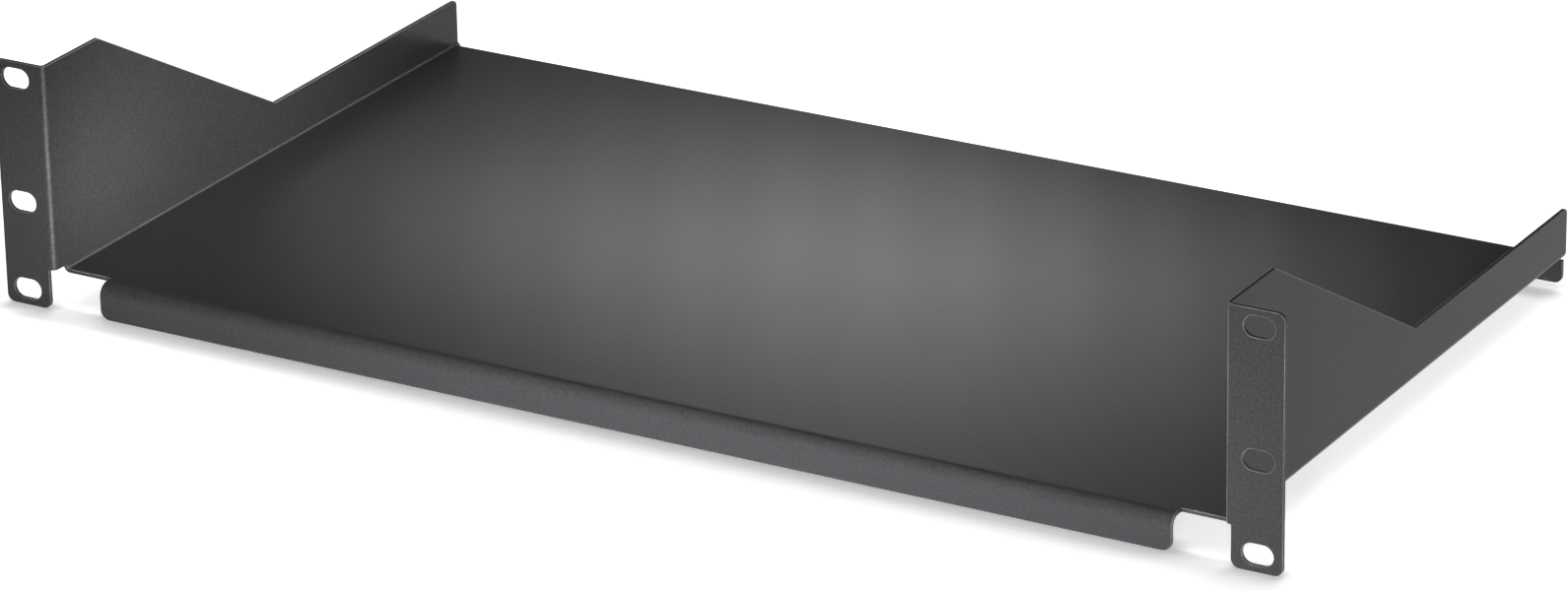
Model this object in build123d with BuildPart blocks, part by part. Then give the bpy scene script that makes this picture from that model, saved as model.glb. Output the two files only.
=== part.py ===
from build123d import *
import os

# Fixed shelf for a 19 inch rack, two rack units tall, folded from one steel sheet.
# X runs across the rack, Y from the room towards the back, and Z up. The origin is at
# the middle of the shelf's width and depth, level with the ears' bottom edges. Sizes
# are in millimetres.

# Sheet and folds
sheet = 1.5                   # thickness of the steel
fold_radius = 1.0             # inside radius of the wall, ear and rear folds
front_fold_radius = 3.0       # inside radius of the softer front fold
slit = 0.3                    # width of the slits between neighbouring folds

# Rack ears
panel_width = 482.6           # across both ears
panel_height = 88.1           # two rack units, less the clearance to the next panel
ear_corner_radius = 3.0
slot_length = 11.0
slot_width = 7.2
slot_to_edge = 8.75           # from the ear's outer edge to the slot centres
slot_to_end = 5.95            # from the ear's top or bottom to the nearest slot centre
middle_slot_rise = 31.75      # from the lowest slot centre to the middle one

# Tray
ear_projection = 19.05        # from the wall's outer face to the ear's outer edge
shelf_depth = 254.0           # from the ears' front faces to the rear lip's back face
deck_height = 13.0            # top of the deck above the ears' bottom edges
deck_setback = 7.0            # deck's front edge, beside the front lip, behind the ears
low_wall = 17.0               # height of the wall's low rear part above the deck
wall_shoulder = 32.0          # full-height part of the wall, from the ears' front faces
wall_slope = 103.0            # run of the sloping part behind it
wall_corner_radius = 2.0      # top rear corner of the wall

# Lips
front_lip_inset = 19.5        # end of the front lip inside the wall's outer face
front_lip_drop = 12.5         # from the deck's top to the front lip's bottom edge
front_lip_corner_radius = 3.5
rear_lip_inset = 0.7          # end of the rear lip inside the wall's outer face
rear_lip_drop = 10.5          # from the deck's top to the rear lip's bottom edge
rear_lip_corner_radius = 3.0

# Across the shelf
fold_outside = fold_radius + sheet
wall_outer = panel_width / 2 - ear_projection
wall_inner = wall_outer - sheet
deck_fold_line = wall_outer - fold_outside      # where the flat deck turns up
ear_fold_line = wall_inner + fold_outside       # where the flat ear begins
ear_width = panel_width / 2 - ear_fold_line
slot_centre = panel_width / 2 - slot_to_edge
front_lip_end = wall_outer - front_lip_inset
rear_lip_end = wall_outer - rear_lip_inset

# Along the shelf
front = -shelf_depth / 2                        # front faces of the ears and front lip
back = shelf_depth / 2
front_fold_outside = front_fold_radius + sheet
front_fold_line = front + front_fold_outside    # where the flat deck turns down
deck_front = front + deck_setback
rear_fold_line = back - fold_outside

# Up the shelf
deck_underside = deck_height - sheet
wall_fold_line = deck_underside + fold_outside  # where the flat wall begins
wall_bottom = wall_fold_line + slit             # free lower edge by the ear
low_wall_top = deck_height + low_wall
front_lip_top = deck_height - front_fold_outside
front_lip_bottom = deck_height - front_lip_drop
rear_lip_top = deck_height - fold_outside
rear_lip_bottom = deck_height - rear_lip_drop
slot_heights = [
    slot_to_end,
    slot_to_end + middle_slot_rise,
    panel_height - slot_to_end,
]

with BuildPart() as shelf:
    # Deck with the folds that carry the walls: a U-shaped section, drawn along its
    # outer face and thickened inwards
    with BuildSketch(Plane.XZ.offset(-deck_front)):
        with BuildLine():
            FilletPolyline(
                (-wall_outer, wall_bottom),
                (-wall_outer, deck_underside),
                (wall_outer, deck_underside),
                (wall_outer, wall_bottom),
                radius=fold_outside,
            )
            offset(amount=sheet, side=Side.LEFT)
        make_face()
    extrude(amount=deck_front - back)

    # The flat deck stops where the rear fold begins
    with BuildSketch(Plane.XY.offset(deck_underside)):
        with Locations((0, rear_fold_line)):
            Rectangle(2 * deck_fold_line, fold_outside, align=(Align.CENTER, Align.MIN))
    extrude(amount=sheet, mode=Mode.SUBTRACT)

    # Walls with the folds into the ears: a section seen from above, drawn along the
    # face that looks to the middle of the shelf and thickened outwards
    with BuildSketch(Plane.XY.offset(wall_bottom)):
        with BuildLine():
            wall = Line((wall_inner, back), (wall_inner, front + fold_outside))
            TangentArc(wall @ 1, (ear_fold_line, front), tangent=wall % 1)
            offset(amount=sheet, side=Side.LEFT)
        make_face()
        mirror(about=Plane.YZ)
    extrude(amount=panel_height - wall_bottom)

    # Each wall keeps its full height behind the ear, slopes down and runs on low
    with BuildSketch(Plane.YZ):
        with BuildLine():
            Polyline(
                (front + wall_shoulder, panel_height),
                (front + wall_shoulder + wall_slope, low_wall_top),
                (back, low_wall_top),
                (back, panel_height),
                close=True,
            )
        make_face()
    extrude(amount=wall_outer, both=True, mode=Mode.SUBTRACT)
    rear_wall_corners = (
        shelf.edges()
        .filter_by(Axis.X)
        .filter_by_position(Axis.Z, low_wall_top, low_wall_top)
        .group_by(Axis.Y)[-1]
    )
    fillet(rear_wall_corners, radius=wall_corner_radius)

    # Ears: every corner is rounded but the one that runs on into the fold
    with BuildSketch(Plane.XZ.offset(-front)) as ear:
        with Locations((ear_fold_line, 0)):
            Rectangle(ear_width, panel_height, align=Align.MIN)
        corners = ear.vertices().sort_by_distance((ear_fold_line, panel_height))
        fillet(corners[1:], radius=ear_corner_radius)
        with Locations([(slot_centre, height) for height in slot_heights]):
            SlotOverall(slot_length, slot_width, mode=Mode.SUBTRACT)
        mirror(about=Plane.YZ)
    extrude(amount=-sheet)

    # Front fold: from the deck's front edge over the softer radius
    with BuildSketch(Plane.YZ):
        with BuildLine():
            deck_edge = Line((deck_front, deck_height), (front_fold_line, deck_height))
            TangentArc(deck_edge @ 1, (front, front_lip_top), tangent=deck_edge % 1)
            offset(amount=sheet, side=Side.LEFT)
        make_face()
    extrude(amount=front_lip_end, both=True)

    # Front lip, flush with the front faces of the ears
    with BuildSketch(Plane.XZ.offset(-front)) as front_lip:
        with Locations((0, front_lip_top)):
            Rectangle(
                2 * front_lip_end,
                front_lip_top - front_lip_bottom,
                align=(Align.CENTER, Align.MAX),
            )
        fillet(front_lip.vertices().group_by(Axis.Y)[0], radius=front_lip_corner_radius)
    extrude(amount=-sheet)

    # Rear fold, freed by a slit at each end from the folds under the walls
    with BuildSketch(Plane.YZ):
        with BuildLine():
            TangentArc(
                (rear_fold_line, deck_height), (back, rear_lip_top), tangent=(1, 0)
            )
            offset(amount=sheet, side=Side.RIGHT)
        make_face()
    extrude(amount=deck_fold_line - slit, both=True)

    # Rear lip: its ends rise beside the rear fold and follow the folds of the walls
    with BuildSketch(Plane.XZ.offset(-back)) as rear_lip:
        with Locations((0, rear_lip_bottom)):
            Rectangle(
                2 * rear_lip_end,
                wall_fold_line - rear_lip_bottom,
                align=(Align.CENTER, Align.MIN),
            )
        fillet(rear_lip.vertices().group_by(Axis.Y)[0], radius=rear_lip_corner_radius)
        with Locations((0, rear_lip_top)):
            Rectangle(
                2 * deck_fold_line,
                wall_fold_line - rear_lip_top,
                align=(Align.CENTER, Align.MIN),
                mode=Mode.SUBTRACT,
            )
        with Locations(
            (-deck_fold_line, wall_fold_line), (deck_fold_line, wall_fold_line)
        ):
            Circle(fold_outside + slit, mode=Mode.SUBTRACT)
    extrude(amount=sheet)

shelf.part.label = "rack_shelf"

os.makedirs("parts", exist_ok=True)
export_step(shelf.part, "parts/rack_shelf.step")
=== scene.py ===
"""Finished look of the rack shelf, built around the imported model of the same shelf.

The shelf is one sheet of steel, so it is drawn here the way that it is made: a flat
blank with its outline and slots, carried over its folds, with rounded edges all round
and a black powder coat. Lengths are in millimetres until a mesh is written.
"""

import logging
import math
from dataclasses import dataclass, field
from enum import Enum

import bpy
import numpy as np
from mathutils import Matrix, Vector
from mathutils.geometry import delaunay_2d_cdt


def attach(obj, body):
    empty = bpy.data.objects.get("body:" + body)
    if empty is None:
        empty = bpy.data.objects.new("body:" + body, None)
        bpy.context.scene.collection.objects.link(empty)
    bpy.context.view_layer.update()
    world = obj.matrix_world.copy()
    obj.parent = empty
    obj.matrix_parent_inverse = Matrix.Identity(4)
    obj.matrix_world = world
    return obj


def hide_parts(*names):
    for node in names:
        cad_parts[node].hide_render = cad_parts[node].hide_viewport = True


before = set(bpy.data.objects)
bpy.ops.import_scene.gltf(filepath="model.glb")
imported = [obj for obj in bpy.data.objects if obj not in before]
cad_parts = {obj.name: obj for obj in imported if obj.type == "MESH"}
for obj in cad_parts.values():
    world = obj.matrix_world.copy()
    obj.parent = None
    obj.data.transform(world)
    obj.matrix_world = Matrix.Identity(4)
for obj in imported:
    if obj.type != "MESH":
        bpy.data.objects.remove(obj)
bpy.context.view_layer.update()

log = logging.getLogger("rack_shelf")

MM = 0.001
BODY = "root"
NODE = "rack_shelf"

# How far the blank's grid keeps off the corners of an outline, in millimetres. Inside
# the outline it keeps twice as far off.
GRID_CLEARANCE = 0.12

# Tolerances in the blank, in millimetres: two points are one, a point lies on a line, a
# point lies clear of a line's end, two triangles share a point, a length is nought.
SAME_POINT = 1e-4
ON_LINE = 1e-5
LINE_MARGIN = 1e-3
SHARED_POINT = 1e-7
TINY = 1e-9

# Blender's noise lies between these, but for rare peaks.
NOISE_RANGE = {"From Min": 0.3, "From Max": 0.7}


def linear(colour: str) -> tuple[float, float, float, float]:
    """Turns an sRGB hex colour into the linear RGBA that a shader takes.

    Args:
        colour: The colour as it looks, such as "#808080".

    Returns:
        Linear red, green and blue, and full opacity.
    """
    srgb = [int(colour[i : i + 2], 16) / 255 for i in (1, 3, 5)]
    red, green, blue = (
        c / 12.92 if c <= 0.04045 else ((c + 0.055) / 1.055) ** 2.4 for c in srgb
    )
    return red, green, blue, 1.0


def add_node(
    tree: bpy.types.NodeTree,
    kind: str,
    inputs: dict[str | int, object] | None = None,
    **settings: object,
) -> bpy.types.Node:
    """Adds a shader node with its settings, values and links.

    Args:
        tree: The node tree that takes the node.
        kind: The node's type, without its "ShaderNode" prefix.
        inputs: For each input, by name or number, a value or the output to link.
        **settings: The node's own properties.

    Returns:
        The new node.
    """
    node = tree.nodes.new("ShaderNode" + kind)
    for name, value in settings.items():
        setattr(node, name, value)
    for socket, value in (inputs or {}).items():
        if isinstance(value, bpy.types.NodeSocket):
            tree.links.new(value, node.inputs[socket])
        else:
            node.inputs[socket].default_value = value
    return node


class Turn(Enum):
    """Which way a flange turns, seen from the sheet's upper face."""

    TOWARDS = -1.0
    AWAY = 1.0


@dataclass(frozen=True)
class Fold:
    """One quarter-turn fold.

    Attributes:
        start: Distance along the sheet at which the fold begins.
        radius: Radius of the sheet's upper face in the fold.
        turn: Which way the flange turns.
        room: Length that the fold takes up in the blank. It is more than the real
            arc, so that neighbouring flanges never overlap in the blank.
    """

    start: float
    radius: float
    turn: Turn
    room: float

    @property
    def end(self) -> float:
        """Distance along the sheet at which the flange begins."""
        return self.start + self.room

    def angle(self, run: np.ndarray) -> np.ndarray:
        """Angle turned at each distance along the sheet, in radians."""
        return np.clip((run - self.start) / self.room, 0, 1) * math.pi / 2

    def carry(
        self, run: np.ndarray, depth: np.ndarray | float
    ) -> tuple[np.ndarray, np.ndarray]:
        """Carries points of the blank over the fold.

        Before the fold a point stays where it is. In the fold it goes round a circle
        whose radius is the upper face's, less or plus the depth. After the fold the
        rest of the run counts along the flange.

        Args:
            run: Distances along the sheet.
            depth: Distances below the sheet's upper face.

        Returns:
            Distances along the unfolded part, and at right angles to it, counted
            down from its upper face.
        """
        angle = self.angle(run)
        radius = self.radius - self.turn.value * depth
        after = np.maximum(run - self.end, 0)
        along = np.minimum(run, self.start) + radius * np.sin(angle)
        down = self.turn.value * (self.radius - radius * np.cos(angle) + after)
        return along, down

    def steps(self, count: int) -> np.ndarray:
        """Distances along the sheet that divide the fold into equal angles."""
        return np.linspace(self.start, self.end, count + 1)


@dataclass(frozen=True)
class Outline:
    """A closed outline in the blank, with the sheet on its left.

    Attributes:
        points: Points along the outline, one row each.
        normals: Unit vectors that point out of the sheet, one for each point.
    """

    points: np.ndarray
    normals: np.ndarray

    @classmethod
    def rounded(
        cls, corners: np.ndarray, u_lines: np.ndarray, v_lines: np.ndarray
    ) -> "Outline":
        """Makes an outline from its corners.

        Every corner becomes an arc: its points are the arc's centre plus or minus the
        radius times an outward vector that turns evenly from one side's normal to the
        next one's. Each straight side also gets a point wherever a grid line of the
        blank crosses it.

        Args:
            corners: A row for each corner: two coordinates, a radius, and how many
                steps its arc has.
            u_lines: Grid lines at these distances across the blank.
            v_lines: Grid lines at these distances along the blank.

        Returns:
            The outline.
        """
        place, radius, steps = corners[:, :2], corners[:, 2], corners[:, 3].astype(int)
        leave = np.roll(place, -1, axis=0) - place
        leave /= np.linalg.norm(leave, axis=1, keepdims=True)
        come = np.roll(leave, 1, axis=0)
        cross = come[:, 0] * leave[:, 1] - come[:, 1] * leave[:, 0]
        turn = np.arctan2(cross, (come * leave).sum(axis=1))
        bulge = np.sign(turn) * radius
        outward = np.stack([come[:, 1], -come[:, 0]], axis=1)
        centre = (
            place
            - come * (radius * np.tan(np.abs(turn) / 2))[:, None]
            - outward * bulge[:, None]
        )

        corner = np.repeat(np.arange(len(place)), steps + 1)
        first = np.cumsum(steps + 1) - (steps + 1)
        share = (np.arange(len(corner)) - first[corner]) / steps[corner]
        cos, sin = np.cos(turn[corner] * share), np.sin(turn[corner] * share)
        x, y = outward[corner].T
        arc_normals = np.stack([x * cos - y * sin, x * sin + y * cos], axis=1)
        arc_points = centre[corner] + arc_normals * bulge[corner][:, None]

        last = first + steps
        begin, finish = arc_points[last], arc_points[np.roll(first, -1)]
        side = finish - begin
        with np.errstate(divide="ignore", invalid="ignore"):
            at_u = (u_lines[None, :] - begin[:, :1]) / side[:, :1]
            at_v = (v_lines[None, :] - begin[:, 1:]) / side[:, 1:]
        at = np.concatenate([at_u, at_v], axis=1)
        clear = GRID_CLEARANCE / np.maximum(np.linalg.norm(side, axis=1), TINY)
        on_side, line = np.nonzero((at > clear[:, None]) & (at < 1 - clear[:, None]))
        at = at[on_side, line]
        side_points = begin[on_side] + side[on_side] * at[:, None]
        side_normals = arc_normals[last][on_side]

        key = np.concatenate([np.arange(len(corner)), last[on_side] + at])
        points = np.concatenate([arc_points, side_points])
        normals = np.concatenate([arc_normals, side_normals])
        order = np.argsort(key, kind="stable")
        points, normals = points[order], normals[order]
        gaps = np.linalg.norm(points - np.roll(points, 1, axis=0), axis=1)
        return cls(points[gaps > SAME_POINT], normals[gaps > SAME_POINT])

    def inset(self, distance: float | np.ndarray) -> np.ndarray:
        """Points of the outline moved into the sheet."""
        return self.points - self.normals * distance

    def holds(self, points: np.ndarray) -> np.ndarray:
        """Tells which points lie inside the outline, by counting crossings.

        Args:
            points: Points in the blank, one row each.

        Returns:
            True for each point inside.
        """
        a, b = self.points, np.roll(self.points, -1, axis=0)
        x, y = points[:, :1], points[:, 1:]
        spans = (a[:, 1] > y) != (b[:, 1] > y)
        with np.errstate(divide="ignore", invalid="ignore"):
            cut = a[:, 0] + (y - a[:, 1]) * (b[:, 0] - a[:, 0]) / (b[:, 1] - a[:, 1])
        return (spans & (x < cut)).sum(axis=1) % 2 == 1

    def distance(self, points: np.ndarray) -> np.ndarray:
        """Distance of each point from the nearest side of the outline."""
        a = self.points
        side = np.roll(a, -1, axis=0) - a
        reach = points[:, None, :] - a
        share = np.clip((reach * side).sum(axis=2) / (side * side).sum(axis=1), 0, 1)
        return np.linalg.norm(reach - side * share[..., None], axis=2).min(axis=1)


@dataclass(frozen=True)
class FoldedSheet:
    """The shelf's sheet of steel, from its flat blank to the folded shape.

    In the blank, u runs across the shelf and v from the room to the back. Depth counts
    from the sheet's upper face, which becomes the inner face of the walls and the
    outer face of the ears and lips. The sizes have the names that they have in the
    part's source, in millimetres.
    """

    sheet: float = 1.5
    fold_radius: float = 1.0
    front_fold_radius: float = 3.0
    slit: float = 0.3
    panel_width: float = 482.6
    panel_height: float = 88.1
    ear_corner_radius: float = 3.0
    slot_length: float = 11.0
    slot_width: float = 7.2
    slot_to_edge: float = 8.75
    slot_to_end: float = 5.95
    middle_slot_rise: float = 31.75
    ear_projection: float = 19.05
    shelf_depth: float = 254.0
    deck_height: float = 13.0
    deck_setback: float = 7.0
    low_wall: float = 17.0
    wall_shoulder: float = 32.0
    wall_slope: float = 103.0
    wall_corner_radius: float = 2.0
    front_lip_inset: float = 19.5
    front_lip_drop: float = 12.5
    front_lip_corner_radius: float = 3.5
    rear_lip_inset: float = 0.7
    rear_lip_drop: float = 10.5
    rear_lip_corner_radius: float = 3.0

    # Radii of the cut edges, of the corners left sharp in the source, and of the slits.
    edge_radius: float = 0.30
    cut_corner: float = 0.4
    slit_corner: float = 0.12
    # Length that each fold takes up in the blank.
    fold_room: float = 8.0
    # Steps round an edge, a sharp corner, a rounded one, a slot's corner and a fold.
    edge_steps: int = 3
    cut_steps: int = 3
    corner_steps: int = 8
    slot_steps: int = 10
    fold_steps: int = 8
    # Grid lines on the deck, across and along the shelf, and up a wall.
    deck_lines: tuple[int, int] = (23, 14)
    wall_lines: int = 5
    # Painted highlight lines along the folds: how strong each is, as a share of the
    # painted highlight on an arris, and the power of a sine that keeps the line narrow.
    wall_painted_highlight: float = 0.30
    wall_painted_highlight_power: int = 6
    ear_painted_highlight: float = 0.60
    ear_painted_highlight_power: int = 16

    @property
    def fold_outside(self) -> float:
        """Outside radius of the wall, ear and rear folds."""
        return self.fold_radius + self.sheet

    @property
    def wall_inner(self) -> float:
        """Distance of a wall's inner face from the middle."""
        return self.panel_width / 2 - self.ear_projection - self.sheet

    @property
    def front(self) -> float:
        """Front faces of the ears and the front lip."""
        return -self.shelf_depth / 2

    @property
    def wall_fold(self) -> Fold:
        """Fold between the deck and a wall."""
        start = self.wall_inner - self.fold_radius
        return Fold(start, self.fold_radius, Turn.TOWARDS, self.fold_room)

    @property
    def ear_fold(self) -> Fold:
        """Fold between a wall and its ear, which runs to the front."""
        start = -self.front - self.fold_outside
        return Fold(start, self.fold_outside, Turn.AWAY, self.fold_room)

    @property
    def front_fold(self) -> Fold:
        """Soft fold between the deck and the front lip, which runs to the front."""
        radius = self.front_fold_radius + self.sheet
        return Fold(-self.front - radius, radius, Turn.AWAY, self.fold_room)

    @property
    def rear_fold(self) -> Fold:
        """Fold between the deck and the rear lip."""
        start = -self.front - self.fold_outside
        return Fold(start, self.fold_outside, Turn.AWAY, self.fold_room)

    @property
    def lip_end(self) -> float:
        """Distance of the front lip's ends from the middle."""
        return self.panel_width / 2 - self.ear_projection - self.front_lip_inset

    @property
    def ear_tip(self) -> float:
        """Distance along the blank of the ears' outer edges."""
        width = self.panel_width / 2 - self.wall_inner - self.fold_outside
        return -self.ear_fold.end - width

    @property
    def wall_foot(self) -> float:
        """Height at which a wall's flat part begins."""
        return self.deck_height + self.fold_radius

    def height(self, z: float) -> float:
        """Distance across the blank of a height on a wall or an ear."""
        return self.wall_fold.end + z - self.wall_foot

    def corners(self) -> np.ndarray:
        """Corners of the blank's outline, anticlockwise.

        Returns:
            A row for each corner: u, v, radius and steps.
        """
        back, setback = -self.front, self.front + self.deck_setback
        cut, slit = self.cut_corner, self.slit_corner
        arc, few = self.corner_steps, self.cut_steps
        wall_edge = self.height(self.wall_foot + self.slit)
        ear_start, ear_tip = -self.ear_fold.end, self.ear_tip
        lip_drop = self.front_lip_drop - self.front_fold.radius
        lip_tip = -self.front_fold.end - lip_drop
        deck_side, rear_line = self.wall_fold.start, self.rear_fold.start
        rear_lip = self.rear_fold.end
        rear_tip = rear_lip + self.rear_lip_drop - self.fold_outside
        rear_end = self.panel_width / 2 - self.ear_projection - self.rear_lip_inset
        rise = self.fold_outside + self.fold_radius
        under = self.fold_outside + self.slit
        tab = rear_lip - rise + under
        tab_end = rear_lip - rise + math.sqrt(under**2 - (rear_end - deck_side) ** 2)
        low = self.height(self.deck_height + self.low_wall)
        top = self.height(self.panel_height)
        shoulder = self.front + self.wall_shoulder
        right = np.array(
            [
                (self.lip_end, lip_tip, self.front_lip_corner_radius, arc),
                (self.lip_end, setback, cut, few),
                (wall_edge, setback, cut, few),
                (wall_edge, ear_start, cut, few),
                (self.height(0), ear_start, self.ear_corner_radius, arc),
                (self.height(0), ear_tip, self.ear_corner_radius, arc),
                (top, ear_tip, self.ear_corner_radius, arc),
                (top, shoulder, cut, few),
                (low, shoulder + self.wall_slope, cut, few),
                (low, back, self.wall_corner_radius, arc),
                (deck_side, back, cut, few),
                (deck_side, rear_line, slit, few),
                (deck_side - self.slit, rear_line, slit, few),
                (deck_side - self.slit, rear_lip, slit, few),
                (deck_side, rear_lip, slit, few),
                (deck_side, tab, cut, few),
                (rear_end, tab_end, cut, few),
                (rear_end, rear_tip, self.rear_lip_corner_radius, arc),
            ]
        )
        left = right[::-1] * np.array([-1, 1, 1, 1])
        return np.concatenate([right, left])

    def grid_lines(self) -> tuple[np.ndarray, np.ndarray]:
        """Grid lines of the blank, across and along it.

        They are evenly spaced on the flats and lie closer in the folds.

        Returns:
            Distances across the blank, and distances along it.
        """
        deck_side, wall_top = self.wall_fold.start, self.height(self.panel_height)
        walls = self.wall_fold.steps(self.fold_steps)
        deck = np.linspace(-deck_side, deck_side, self.deck_lines[0])
        flank = np.linspace(self.wall_fold.end, wall_top, self.wall_lines)
        across = np.concatenate([-flank, -walls, deck, walls, flank])
        ear = -self.ear_fold.steps(self.fold_steps)
        lip = -self.front_fold.steps(self.fold_steps)
        rear = self.rear_fold.steps(self.fold_steps)
        flats = np.linspace(lip[0], rear[0], self.deck_lines[1])
        along = np.concatenate([ear, lip, flats, rear])
        return np.unique(across.round(6)), np.unique(along.round(6))

    def outlines(self) -> list[Outline]:
        """Outline of the blank, and of the slots in it.

        A slot is the blank's outline run the other way: a rectangle with corners
        rounded to its half width.

        Returns:
            The outer outline first, then the slots.
        """
        u_lines, v_lines = self.grid_lines()
        found = [Outline.rounded(self.corners(), u_lines, v_lines)]
        middle = self.ear_tip + self.slot_to_edge
        half = np.array([self.slot_width, self.slot_length]) / 2
        turns = np.array([(-1, -1), (-1, 1), (1, 1), (1, -1)])
        heights = (
            self.slot_to_end,
            self.slot_to_end + self.middle_slot_rise,
            self.panel_height - self.slot_to_end,
        )
        rounding = np.tile([self.slot_width / 2, self.slot_steps], (4, 1))
        none = np.empty(0)
        for side in (-1, 1):
            for z in heights:
                place = np.array([side * self.height(z), middle]) + turns * half
                corners = np.hstack([place, rounding])
                found.append(Outline.rounded(corners, none, none))
        return found

    def on_ear(self, u: np.ndarray, v: np.ndarray) -> np.ndarray:
        """Tells which points of the blank lie on an ear or on the fold beside it."""
        beside_lip = np.abs(u) > self.lip_end + self.ear_corner_radius
        return (v < -self.ear_fold.start) & beside_lip

    def on_rear_lip(self, v: np.ndarray) -> np.ndarray:
        """Tells which points of the blank lie past the middle of the rear fold."""
        return v > self.rear_fold.start + self.rear_fold.room / 2

    def fold(
        self, u: np.ndarray, v: np.ndarray, depth: np.ndarray
    ) -> tuple[np.ndarray, np.ndarray, np.ndarray, np.ndarray]:
        """Carries points of the blank to their places on the folded shelf.

        A point of the deck or a lip keeps its u and goes over the front or rear fold.
        A point near a side goes over the wall fold. A point of a wall or an ear has
        its height from u, and goes over the ear fold with its v.

        Args:
            u: Distances across the blank.
            v: Distances along the blank.
            depth: Distances below the sheet's upper face.

        Returns:
            The points, and the unit vectors in which u, v and the depth grow there.
        """
        across, side = np.abs(u), np.where(u < 0, -1.0, 1.0)
        zero, one = np.zeros_like(u), np.ones_like(u)
        at_front, ear = v < 0, self.on_ear(u, v)
        beside_deck = across > self.wall_fold.start - self.slit / 2
        flank = beside_deck & ~self.on_rear_lip(v)
        upright = (flank & (across >= self.wall_fold.end)) | ear
        folded = flank & ~upright

        run, drop = (
            np.where(at_front, front, rear)
            for front, rear in zip(
                self.front_fold.carry(-v, depth), self.rear_fold.carry(v, depth)
            )
        )
        lip = np.where(at_front, self.front_fold.angle(-v), self.rear_fold.angle(v))
        end = np.where(at_front, -1.0, 1.0)
        place = np.stack([u, end * run, self.deck_height - drop], axis=1)
        to_u = np.stack([one, zero, zero], axis=1)
        to_v = np.stack([zero, np.cos(lip), -end * np.sin(lip)], axis=1)
        to_depth = np.stack([zero, -end * np.sin(lip), -np.cos(lip)], axis=1)

        run, drop = self.wall_fold.carry(across, depth)
        turn = self.wall_fold.angle(across)
        cos, sin = np.cos(turn), np.sin(turn)
        for rows, parts in (
            (place, (side * run, v, self.deck_height - drop)),
            (to_u, (cos, zero, side * sin)),
            (to_v, (zero, one, zero)),
            (to_depth, (side * sin, zero, -cos)),
        ):
            rows[folded] = np.stack(parts, axis=1)[folded]

        run, drop = self.ear_fold.carry(-v, depth)
        turn = self.ear_fold.angle(-v)
        cos, sin = np.cos(turn), np.sin(turn)
        rise = self.wall_foot + across - self.wall_fold.end
        for rows, parts in (
            (place, (side * (self.wall_inner + drop), -run, rise)),
            (to_u, (zero, zero, side)),
            (to_v, (-side * sin, cos, zero)),
            (to_depth, (side * cos, sin, zero)),
        ):
            rows[upright] = np.stack(parts, axis=1)[upright]
        return place, to_u, to_v, to_depth

    def face_grid(self, outlines: list[Outline]) -> tuple[np.ndarray, np.ndarray]:
        """Divides the blank into triangles.

        Its points are the outlines, moved in by the edge radius, and the crossings of
        the grid lines inside them.

        Args:
            outlines: The blank's outline and its slots.

        Returns:
            The points, with those of the outlines first, and the triangles.
        """
        loops = [
            Outline(outline.inset(self.edge_radius), outline.normals)
            for outline in outlines
        ]
        u, v = np.meshgrid(*self.grid_lines(), indexing="ij")
        inner = np.stack([u.ravel(), v.ravel()], axis=1)
        inner = inner[self.on_sheet(inner, loops)]
        clear = np.min([loop.distance(inner) for loop in loops], axis=0)
        inner = inner[clear > GRID_CLEARANCE * 2]
        points = np.concatenate([loop.points for loop in loops] + [inner])
        edges, first = [self.fold_edges(points, loops)], 0
        for loop in loops:
            index = np.arange(len(loop.points))
            edges.append(np.stack([index, np.roll(index, -1)], axis=1) + first)
            first += len(index)
        places, _, faces, sources, *_ = delaunay_2d_cdt(
            [Vector(point) for point in points],
            np.concatenate(edges).tolist(),
            [],
            0,
            SHARED_POINT,
        )
        if len(places) != len(points):
            raise ValueError("the blank's outlines cross or touch")
        order = np.array([source[0] for source in sources])
        triangles = order[np.array(faces)]
        a, b, c = points[triangles].transpose(1, 0, 2)
        inside = self.on_sheet((a + b + c) / 3, loops)
        turned = np.cross(b - a, c - a) < 0
        triangles[turned] = triangles[turned][:, ::-1]
        return points, triangles[inside]

    def fold_edges(self, points: np.ndarray, loops: list[Outline]) -> np.ndarray:
        """Finds the edges that keep every step of a fold straight.

        Args:
            points: The points of the blank.
            loops: Its outlines.

        Returns:
            Pairs of neighbouring points on the lines that divide the folds.
        """
        walls = self.wall_fold.steps(self.fold_steps)
        across = np.concatenate([-walls, walls])
        ear = -self.ear_fold.steps(self.fold_steps)
        rear = self.rear_fold.steps(self.fold_steps)
        lip = -self.front_fold.steps(self.fold_steps)
        along = np.concatenate([ear, rear, lip])
        starts = np.concatenate([loop.points for loop in loops])
        ends = np.concatenate([np.roll(loop.points, -1, axis=0) for loop in loops])
        pairs = []
        for axis, lines in ((0, across), (1, along)):
            for line in lines:
                spans = (starts[:, axis] > line) != (ends[:, axis] > line)
                a, b = starts[spans], ends[spans]
                share = (line - a[:, axis]) / (b[:, axis] - a[:, axis])
                cuts = np.sort(a[:, 1 - axis] + share * (b - a)[:, 1 - axis])
                on_line = np.flatnonzero(np.abs(points[:, axis] - line) < ON_LINE)
                on_line = on_line[np.argsort(points[on_line, 1 - axis])]
                place = points[on_line, 1 - axis]
                before = np.searchsorted(cuts, place[:-1] + LINE_MARGIN)
                after = np.searchsorted(cuts, place[1:] - LINE_MARGIN)
                kept = (before == after) & (before % 2 == 1)
                pairs.append(np.stack([on_line[:-1], on_line[1:]], axis=1)[kept])
        return np.concatenate(pairs)

    @staticmethod
    def on_sheet(points: np.ndarray, loops: list[Outline]) -> np.ndarray:
        """Tells which points lie inside the blank and outside its slots."""
        held = [loop.holds(points) for loop in loops]
        return held[0] & ~np.any(held[1:], axis=0)

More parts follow.
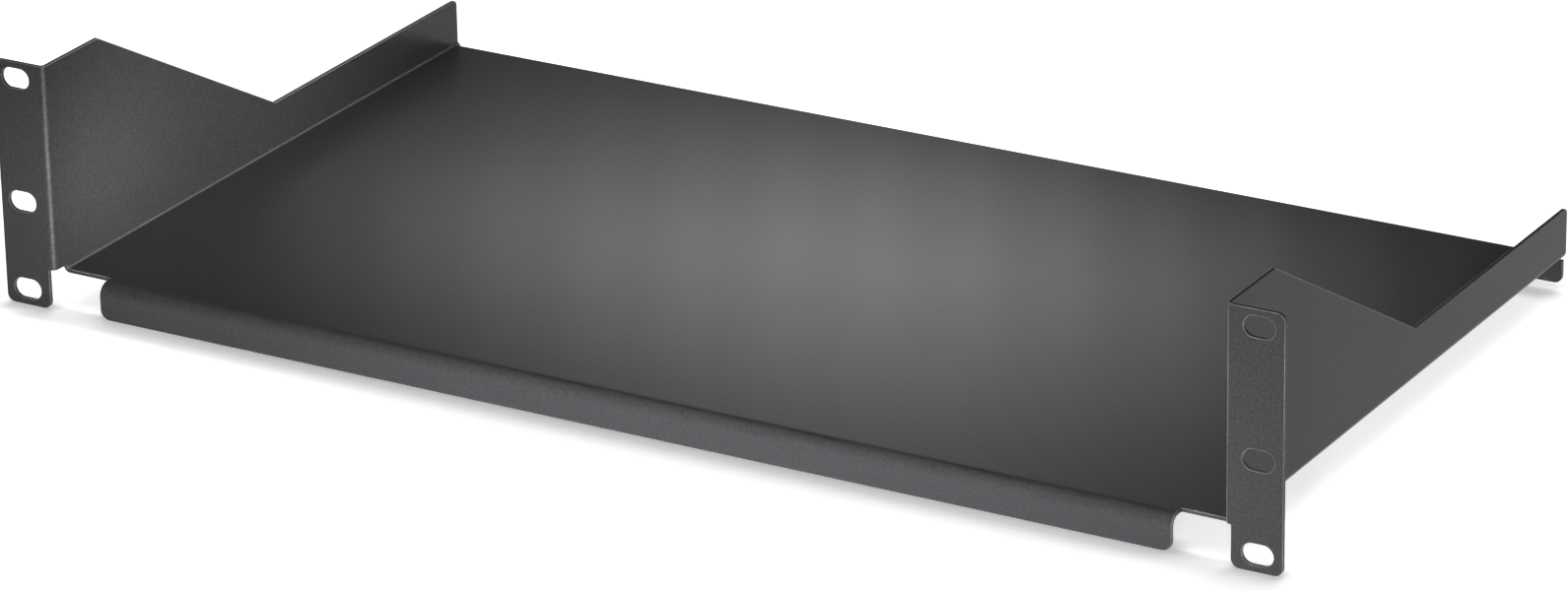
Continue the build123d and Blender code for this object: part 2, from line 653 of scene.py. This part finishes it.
    def painted_highlight_share(self, u: np.ndarray, v: np.ndarray, lean: np.ndarray) -> np.ndarray:
        """Works out the painted highlight lines over the folds and arrises.

        Along a fold it is the sine of twice the fold's angle, to a power that keeps the
        line narrow. On a cut edge it is the sine of twice the lean, which is full in
        the middle of each rounded arris.

        Args:
            u: Distances across the blank.
            v: Distances along the blank.
            lean: Angle round the edge from the sheet's upper face, in radians.

        Returns:
            From 0, where no highlight is painted, to 1 in the middle of an arris.
        """
        across = np.abs(u)
        wall = np.sin(2 * self.wall_fold.angle(across)) ** self.wall_painted_highlight_power
        wall = self.wall_painted_highlight * wall * ~self.on_rear_lip(v)
        ear = np.sin(2 * self.ear_fold.angle(-v)) ** self.ear_painted_highlight_power
        upright = (across >= self.wall_fold.end) | self.on_ear(u, v)
        folds = np.where(upright, self.ear_painted_highlight * ear, wall)
        return np.maximum(folds, np.abs(np.sin(2 * lean)))

    def shell(self) -> tuple[np.ndarray, np.ndarray, np.ndarray, list[np.ndarray]]:
        """Works out the closed surface of the folded sheet.

        Both faces of the sheet are the same triangles, one at no depth and one at the
        sheet's thickness. Between them the outlines are carried round the edge: a
        quarter circle of the edge radius, a straight stretch, and another quarter.

        Returns:
            The points, their normals, how strong the painted highlight is there, and
            the faces as arrays of point numbers.
        """
        outlines = self.outlines()
        points, triangles = self.face_grid(outlines)
        rims = np.concatenate([outline.points for outline in outlines])
        normals = np.concatenate([outline.normals for outline in outlines])
        count, inner = len(rims), points[len(rims) :]

        turn = np.linspace(0, math.pi / 2, self.edge_steps + 1)
        rise = self.edge_radius * (1 - np.cos(turn))
        depth = np.concatenate([rise, self.sheet - rise[::-1]])
        turn = np.concatenate([turn, math.pi - turn[::-1]])
        inset = self.edge_radius * (1 - np.sin(turn))
        rings = rims[None] - normals[None] * inset[:, None, None]

        u, v = np.concatenate([rings.reshape(-1, 2), inner, inner]).T
        top = np.zeros(len(inner))
        depth = np.concatenate([np.repeat(depth, count), top, top + self.sheet])
        lean = np.concatenate([np.repeat(turn, count), top, top + math.pi])
        out = np.zeros((len(u), 2))
        out[: len(turn) * count] = np.tile(normals, (len(turn), 1))
        place, to_u, to_v, to_depth = self.fold(u, v, depth)
        normal = (
            np.sin(lean)[:, None] * (out[:, :1] * to_u + out[:, 1:] * to_v)
            - np.cos(lean)[:, None] * to_depth
        )

        ring = np.arange(len(turn) * count).reshape(len(turn), count)
        strips, first = [], 0
        for outline in outlines:
            size = len(outline.points)
            a = ring[:, first : first + size]
            b = np.roll(a, -1, axis=1)
            strips.append(
                np.stack([a[:-1], a[1:], b[1:], b[:-1]], axis=2).reshape(-1, 4)
            )
            first += size
        on_rim, flat = triangles < count, triangles + ring.size - count
        upper = np.where(on_rim, triangles, flat)
        under = np.where(on_rim, triangles + ring[-1, 0], flat + len(inner))
        painted_highlight = self.painted_highlight_share(u, v, lean)
        return place, normal, painted_highlight, [upper, under[:, ::-1], *strips]


def write_mesh(
    name: str,
    places: np.ndarray,
    normals: np.ndarray,
    faces: list[np.ndarray],
) -> bpy.types.Object:
    """Writes a surface into a new object that sits unturned at the origin.

    Args:
        name: The object's name.
        places: The points, in millimetres.
        normals: The surface's own normal at each point.
        faces: Arrays of point numbers, one row for each face.

    Returns:
        The object.
    """
    mesh = bpy.data.meshes.new(name)
    rows = [row for part in faces for row in part.tolist()]
    mesh.from_pydata((places * MM).tolist(), [], rows)
    mesh.shade_smooth()
    mesh.normals_split_custom_set_from_vertices(normals.tolist())
    thing = bpy.data.objects.new(name, mesh)
    bpy.context.scene.collection.objects.link(thing)
    return thing


@dataclass(frozen=True)
class PowderCoat:
    """Satin black powder coat on steel.

    Polyester powder is sprayed on dry and baked until it flows together. That gives an
    even, nearly black film with a soft sheen and a fine grain where the powder has not
    flowed out quite flat. The paler colour over the folds and cut edges is a painted
    highlight; on the cut edges it also stands for the thinner film there.
    """

    colour: str = "#3d3d3f"
    # Colour of the painted highlight lines over the folds and arrises.
    painted_highlight_colour: str = "#8a8a8c"
    ior: float = 1.5
    # The grain scatters part of what a flat film would mirror.
    specular: float = 0.11
    roughness: float = 0.29
    roughness_spread: float = 0.01
    # Real powder grain is about 0.1 mm across, which no picture of the whole shelf can
    # show, so it is drawn about 1 mm across. It varies the colour by this share.
    grain: float = 1.0
    grain_depth: float = 0.012
    grain_contrast: float = 0.25
    # The slow waviness of the film, or orange peel, is about 5 mm across.
    peel: float = 5.0
    peel_depth: float = 0.006
    # The film's thickness wanders over a hand's width, and its colour by this share.
    drift: float = 90.0
    drift_contrast: float = 0.015

    def material(self) -> bpy.types.Material:
        """Makes the coat as a material on Object coordinates.

        Returns:
            The material.
        """
        made = bpy.data.materials.new("powder_coat_satin_black")
        made.use_nodes = True
        tree = made.node_tree
        tree.nodes.clear()
        place = add_node(tree, "TexCoord").outputs["Object"]
        place = add_node(
            tree, "VectorMath", {0: place, "Scale": 1 / MM}, operation="SCALE"
        ).outputs["Vector"]
        grain = add_node(
            tree,
            "TexNoise",
            {"Vector": place, "Scale": 1 / self.grain, "Detail": 2.0, "Roughness": 0.6},
        ).outputs["Fac"]
        peel = add_node(
            tree, "TexNoise", {"Vector": place, "Scale": 1 / self.peel, "Detail": 1.0}
        ).outputs["Fac"]
        drift = add_node(
            tree, "TexNoise", {"Vector": place, "Scale": 1 / self.drift, "Detail": 2.0}
        ).outputs["Fac"]
        # Painted highlight along the folds and arrises, read from the mesh's point
        # attribute.
        painted_highlight = add_node(tree, "Attribute", attribute_name="coat_painted_highlight").outputs["Fac"]

        fine = add_node(
            tree,
            "MapRange",
            {
                "Value": grain,
                **NOISE_RANGE,
                "To Min": 1 - self.grain_contrast,
                "To Max": 1 + self.grain_contrast,
            },
        ).outputs["Result"]
        slow = add_node(
            tree,
            "MapRange",
            {
                "Value": drift,
                **NOISE_RANGE,
                "To Min": 1 - self.drift_contrast,
                "To Max": 1 + self.drift_contrast,
            },
        ).outputs["Result"]
        tone = add_node(
            tree, "Math", {0: fine, 1: slow}, operation="MULTIPLY"
        ).outputs[0]
        # Mixes the coat's colour towards the painted highlight colour.
        film_with_painted_highlight = add_node(
            tree,
            "Mix",
            {0: painted_highlight, 6: linear(self.colour), 7: linear(self.painted_highlight_colour)},
            data_type="RGBA",
        ).outputs[2]
        colour = add_node(
            tree, "VectorMath", {0: film_with_painted_highlight, "Scale": tone}, operation="SCALE"
        ).outputs["Vector"]
        gloss = add_node(
            tree,
            "MapRange",
            {
                "Value": drift,
                **NOISE_RANGE,
                "To Min": self.roughness - self.roughness_spread,
                "To Max": self.roughness + self.roughness_spread,
            },
        ).outputs["Result"]
        waves = add_node(
            tree,
            "Bump",
            {"Height": peel, "Strength": 1.0, "Distance": self.peel_depth * MM},
        ).outputs["Normal"]
        surface = add_node(
            tree,
            "Bump",
            {
                "Height": grain,
                "Normal": waves,
                "Strength": 1.0,
                "Distance": self.grain_depth * MM,
            },
        ).outputs["Normal"]
        coat = add_node(
            tree,
            "BsdfPrincipled",
            {
                "Base Color": colour,
                "Roughness": gloss,
                "IOR": self.ior,
                "Specular IOR Level": self.specular,
                "Normal": surface,
            },
        )
        add_node(tree, "OutputMaterial", {"Surface": coat.outputs["BSDF"]})
        return made


@dataclass(frozen=True)
class RackShelf:
    """The finished shelf: its folded sheet and its coat."""

    sheet: FoldedSheet = field(default_factory=FoldedSheet)
    coat: PowderCoat = field(default_factory=PowderCoat)

    def build(self) -> bpy.types.Object:
        """Builds the shelf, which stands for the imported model's node.

        Returns:
            The shelf's object.
        """
        places, normals, painted_highlight, faces = self.sheet.shell()
        shelf = write_mesh("folded_shelf", places, normals, faces)
        # Painted highlight: share of the pale colour at each point, over folds and
        # arrises.
        share = shelf.data.attributes.new("coat_painted_highlight", "FLOAT", "POINT")
        share.data.foreach_set("value", painted_highlight.astype(np.float32))
        shelf.data.materials.append(self.coat.material())
        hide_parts(NODE)
        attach(shelf, BODY)
        return shelf


@dataclass(frozen=True)
class Studio:
    """Plain white floor and a white surround, in a level soft light.

    Attributes:
        floor_size: Width and depth of the floor, in metres.
        floor_drop: How far it lies under the shelf, in metres.
        floor_colour: Its paint.
        floor_glow: Brightness that it adds in the picture, clear of the shelf.
        contact: How far the contact shadow reaches in front of the shelf and under
            its deck, in metres.
        front_line: Distances along the floor between which one goes over into the
            other, in metres.
        open_sky: Shares of open sky at which the contact shadow is full and gone.
        contact_glow: Brightness that the floor adds where that shadow is full.
        surround: Strength of the surround's even light.
        horizon: Heights of the direction at which the mirrored white wall ends and
            the ceiling has taken over, as sines.
        walls: Brightness of the mirrored walls.
        ceiling: Brightness of the mirrored ceiling.
    """

    floor_size: float = 30.0
    floor_drop: float = 0.0003
    floor_colour: str = "#e4e4e4"
    floor_glow: float = 1.0
    contact: tuple[float, float] = (0.034, 0.0128)
    front_line: tuple[float, float] = (-0.132, -0.122)
    open_sky: tuple[float, float] = (0.66, 0.99)
    contact_glow: float = 0.39
    surround: float = 0.20
    horizon: tuple[float, float] = (0.05, 0.15)
    walls: float = 0.80
    ceiling: float = 0.066

    def floor(self) -> bpy.types.Object:
        """Lays the floor.

        The picture's white comes from a glow that only the camera and the coat's
        mirror image see. It weakens where the shelf covers the sky over the floor.

        Returns:
            The floor's object.
        """
        half = self.floor_size / 2
        corners = np.array([(-1, -1, 0), (1, -1, 0), (1, 1, 0), (-1, 1, 0)]) * half
        corners[:, 2] = -self.floor_drop
        mesh = bpy.data.meshes.new("floor")
        mesh.from_pydata(corners.tolist(), [], [(0, 1, 2, 3)])
        floor = bpy.data.objects.new("floor", mesh)
        bpy.context.scene.collection.objects.link(floor)

        made = bpy.data.materials.new("matt_white_floor")
        made.use_nodes = True
        tree = made.node_tree
        tree.nodes.clear()
        paint = add_node(tree, "BsdfDiffuse", {"Color": linear(self.floor_colour)})
        spot = add_node(tree, "TexCoord").outputs["Object"]
        along = add_node(tree, "SeparateXYZ", {0: spot}).outputs["Y"]
        reach = add_node(
            tree,
            "MapRange",
            {
                "Value": along,
                "From Min": self.front_line[0],
                "From Max": self.front_line[1],
                "To Min": self.contact[0],
                "To Max": self.contact[1],
            },
        ).outputs["Result"]
        sky = add_node(tree, "AmbientOcclusion", {"Distance": reach}).outputs["AO"]
        glow = add_node(
            tree,
            "MapRange",
            {
                "Value": sky,
                "From Min": self.open_sky[0],
                "From Max": self.open_sky[1],
                "To Min": self.contact_glow,
                "To Max": self.floor_glow,
            },
        ).outputs["Result"]
        seen = add_node(
            tree, "Math", {0: glow, 1: self.seen(tree)}, operation="MULTIPLY"
        ).outputs[0]
        light = add_node(tree, "Emission", {"Strength": seen})
        above = add_node(tree, "AddShader", {0: paint.outputs[0], 1: light.outputs[0]})
        behind = add_node(tree, "NewGeometry").outputs["Backfacing"]
        clear = add_node(tree, "BsdfTransparent")
        both = add_node(
            tree, "MixShader", {0: behind, 1: above.outputs[0], 2: clear.outputs[0]}
        )
        add_node(tree, "OutputMaterial", {"Surface": both.outputs[0]})
        mesh.materials.append(made)
        return floor

    @staticmethod
    def mirrored(tree: bpy.types.NodeTree) -> bpy.types.NodeSocket:
        """One for glossy and transmission rays, and nought for the rest."""
        path = add_node(tree, "LightPath")
        return add_node(
            tree,
            "Math",
            {0: path.outputs["Is Glossy Ray"], 1: path.outputs["Is Transmission Ray"]},
            operation="ADD",
            use_clamp=True,
        ).outputs[0]

    def seen(self, tree: bpy.types.NodeTree) -> bpy.types.NodeSocket:
        """One for camera rays and the mirrored ones, and nought for the rest."""
        path = add_node(tree, "LightPath")
        return add_node(
            tree,
            "Math",
            {0: path.outputs["Is Camera Ray"], 1: self.mirrored(tree)},
            operation="ADD",
            use_clamp=True,
        ).outputs[0]

    def world(self) -> bpy.types.World:
        """Makes the surround.

        What the camera sees is white. The coat mirrors white walls that end in a dim
        ceiling. The rest is an even soft light.

        Returns:
            The world.
        """
        made = bpy.data.worlds.new("surround")
        made.use_nodes = True
        tree = made.node_tree
        tree.nodes.clear()
        way = add_node(tree, "TexCoord").outputs["Generated"]
        rise = add_node(tree, "SeparateXYZ", {0: way}).outputs["Z"]
        room = add_node(
            tree,
            "MapRange",
            {
                "Value": rise,
                "From Min": self.horizon[0],
                "From Max": self.horizon[1],
                "To Min": self.walls,
                "To Max": self.ceiling,
            },
        ).outputs["Result"]
        strength = add_node(
            tree,
            "Mix",
            {0: self.mirrored(tree), 2: self.surround, 3: room},
            data_type="FLOAT",
        ).outputs[0]
        camera = add_node(tree, "LightPath").outputs["Is Camera Ray"]
        strength = add_node(
            tree, "Mix", {0: camera, 2: strength, 3: 1.0}, data_type="FLOAT"
        ).outputs[0]
        white = linear("#ffffff")
        light = add_node(tree, "Background", {"Color": white, "Strength": strength})
        add_node(tree, "OutputWorld", {"Surface": light.outputs[0]})
        bpy.context.scene.world = made
        return made


@dataclass(frozen=True)
class Softbox:
    """A rectangular lamp with a soft face.

    Attributes:
        name: The lamp's name.
        place: Where it stands, in metres.
        aim: The point that it faces, in metres.
        size: Its width and height, in metres.
        radiance: How bright its open face is, where 1 is white.
        colour: The colour of its light.
        mirrored: Whether the coat shows it as a highlight.
        spread: How wide its honeycomb lets the light out, in degrees. A narrow one
            gathers the same power, so it brightens what it aims at.
    """

    name: str
    place: tuple[float, float, float]
    aim: tuple[float, float, float]
    size: tuple[float, float]
    radiance: float
    colour: str = "#ffffff"
    mirrored: bool = True
    spread: float = 180.0

    def build(self) -> bpy.types.Object:
        """Sets up the lamp. Its power is its radiance times pi times its area.

        Returns:
            The lamp's object.
        """
        lamp = bpy.data.lights.new(self.name, "AREA")
        lamp.shape = "RECTANGLE"
        lamp.size, lamp.size_y = self.size
        lamp.energy = self.radiance * math.pi * self.size[0] * self.size[1]
        lamp.color = linear(self.colour)[:3]
        lamp.spread = math.radians(self.spread)
        stand = bpy.data.objects.new(self.name, lamp)
        bpy.context.scene.collection.objects.link(stand)
        way = Vector(self.place) - Vector(self.aim)
        turn = way.to_track_quat("Z", "Y").to_matrix().to_4x4()
        stand.matrix_world = Matrix.Translation(self.place) @ turn
        stand.visible_camera = False
        stand.visible_glossy = self.mirrored
        return stand


@dataclass(frozen=True)
class SheenBank:
    """Bank of small softboxes that the deck shows as one soft sheen.

    Attributes:
        way: Direction in which the deck mirrors them, from the camera's side.
        distance: How far each stands from the point of the deck that it faces.
        height: Height of the deck, in metres.
        across: Those points' distances across the deck, in metres.
        along: Those points' distances along it.
        size: Width and height of each softbox, in metres.
        radiance: Brightness of each, in a row for each distance along the deck.
    """

    way: tuple[float, float, float] = (-0.466, 0.798, 0.381)
    distance: float = 0.24
    height: float = 0.013
    across: tuple[float, ...] = (
        -0.17, -0.13, -0.09, -0.05, -0.01, 0.03, 0.07, 0.11, 0.15, 0.19
    )
    along: tuple[float, ...] = (-0.04, 0.04)
    size: tuple[float, float] = (0.12, 0.06)
    radiance: tuple[tuple[float, ...], ...] = (
        (0.18, 0.36, 0.45, 0.54, 0.55, 0.56, 0.41, 0.27, 0.13, 0.02),
        (0.11, 0.21, 0.37, 0.54, 0.72, 0.88, 0.72, 0.60, 0.46, 0.36),
    )

    def build(self) -> list[bpy.types.Object]:
        """Sets up the softboxes.

        Returns:
            The lamps' objects.
        """
        lamps = []
        for y, row in zip(self.along, self.radiance):
            for x, radiance in zip(self.across, row):
                foot = Vector((x, y, self.height))
                place = foot + Vector(self.way) * self.distance
                name = f"sheen_{len(lamps)}"
                box = Softbox(name, tuple(place), tuple(foot), self.size, radiance)
                lamps.append(box.build())
        return lamps


@dataclass(frozen=True)
class Viewpoint:
    """The camera, at the picture's viewing angle.

    Attributes:
        azimuth: Direction from the object, in degrees, where 0 looks along +Y.
        elevation: Height above the horizon, in degrees.
        roll: Turn of the picture about its middle, in degrees.
        target: The point in the middle of the picture, in metres.
        distance: How far the camera stands from it, in metres.
        lens: Focal length, in millimetres.
        sensor: Width of the sensor, in millimetres.
        clip: Nearest and furthest distance that it sees, in metres.
    """

    azimuth: float = 30.40
    elevation: float = 22.41
    roll: float = -1.02
    target: tuple[float, float, float] = (0.0458, -0.0945, 0.045)
    distance: float = 2.2836
    lens: float = 162.54
    sensor: float = 36.0
    clip: tuple[float, float] = (0.05, 100.0)

    def build(self) -> bpy.types.Object:
        """Sets up the camera and makes it the scene's own.

        Returns:
            The camera's object.
        """
        turn, rise = math.radians(self.azimuth), math.radians(self.elevation)
        back = Vector(
            (
                math.sin(turn) * math.cos(rise),
                -math.cos(turn) * math.cos(rise),
                math.sin(rise),
            )
        )
        right = Vector((math.cos(turn), math.sin(turn), 0))
        up = back.cross(right)
        lean = math.radians(self.roll)
        across = right * math.cos(lean) + up * math.sin(lean)
        upward = up * math.cos(lean) - right * math.sin(lean)
        optics = bpy.data.cameras.new("camera")
        optics.lens, optics.sensor_width = self.lens, self.sensor
        optics.clip_start, optics.clip_end = self.clip
        camera = bpy.data.objects.new("camera", optics)
        bpy.context.scene.collection.objects.link(camera)
        turned = Matrix((across, upward, back)).transposed().to_4x4()
        camera.matrix_world = (
            Matrix.Translation(Vector(self.target) + back * self.distance) @ turned
        )
        bpy.context.scene.camera = camera
        return camera


SOFTBOXES = (
    Softbox(
        "front_low",
        place=(-0.08, -1.20, 0.06),
        aim=(-0.03, -0.127, 0.02),
        size=(0.60, 0.10),
        radiance=15.6,
        mirrored=False,
    ),
    Softbox(
        "front_strip",
        place=(0.14, -1.20, 0.03),
        aim=(0.04, -0.127, 0.006),
        size=(0.36, 0.05),
        radiance=7.6,
        mirrored=False,
        spread=20.0,
    ),
    Softbox(
        "wall_fill",
        place=(0.90, 0.30, 0.50),
        aim=(-0.222, -0.045, 0.045),
        size=(0.12, 0.12),
        radiance=2.9,
        colour="#fffdf1",
        mirrored=False,
        spread=14.0,
    ),
    Softbox(
        "wall_kicker",
        place=(0.30, -0.50, 0.10),
        aim=(-0.222, -0.10, 0.04),
        size=(0.05, 0.05),
        radiance=1.6,
        colour="#fffdf1",
        mirrored=False,
        spread=7.0,
    ),
    Softbox(
        "right_ear",
        place=(0.60, -1.20, 0.25),
        aim=(0.235, -0.127, 0.045),
        size=(0.12, 0.12),
        radiance=0.60,
        mirrored=False,
        spread=12.0,
    ),
    Softbox(
        "rear_corner",
        place=(0.55, -0.85, 0.025),
        aim=(0.235, 0.12, 0.008),
        size=(0.06, 0.04),
        radiance=1.6,
        mirrored=False,
        spread=8.0,
    ),
    Softbox(
        "back_low",
        place=(-0.90, 1.00, 0.12),
        aim=(-0.05, 0.0, 0.03),
        size=(0.60, 0.20),
        radiance=22.0,
        mirrored=False,
    ),
)


def main() -> None:
    """Builds the camera, the shelf and the studio, and reports each."""
    logging.basicConfig(level=logging.INFO, format="%(message)s")
    camera = Viewpoint().build()
    log.info("camera at %s", tuple(round(c, 3) for c in camera.location))
    shelf = RackShelf().build()
    log.info("%s: %d faces", shelf.name, len(shelf.data.polygons))
    studio = Studio()
    log.info("%s laid", studio.floor().name)
    studio.world()
    log.info("sheen from %d lamps", len(SheenBank().build()))
    for softbox in SOFTBOXES:
        log.info("lamp %s", softbox.build().name)
    bpy.context.scene.view_settings.view_transform = "Standard"


if __name__ == "__main__":
    main()
